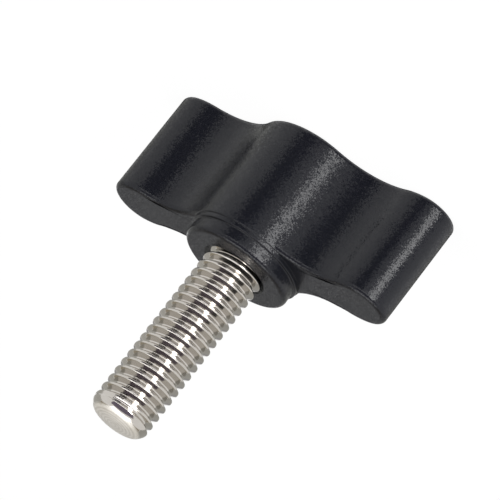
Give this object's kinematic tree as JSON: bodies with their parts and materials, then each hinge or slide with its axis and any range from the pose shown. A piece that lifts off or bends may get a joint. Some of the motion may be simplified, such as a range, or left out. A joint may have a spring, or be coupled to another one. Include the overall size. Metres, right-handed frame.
{
  "type": "thumb screw",
  "caption": "Hand-tightened screw: a black winged knob with a short collar, moulded onto a bright threaded steel stud.",
  "frame": {"origin": "centre of the knob's flat outer face, on which the screw stands", "axes": "+Z along the stud, from the knob to the stud's end; X along the wings; Y across them"},
  "size_m": [0.026, 0.0098, 0.026],
  "materials": {
    "black_moulding": "spark-eroded fine texture",
    "stud_steel": "bright rolled thread"
  },
  "bodies": {
    "root": {"wing_knob": "black_moulding", "threaded_stud": "stud_steel"}
  },
  "joints": []
}
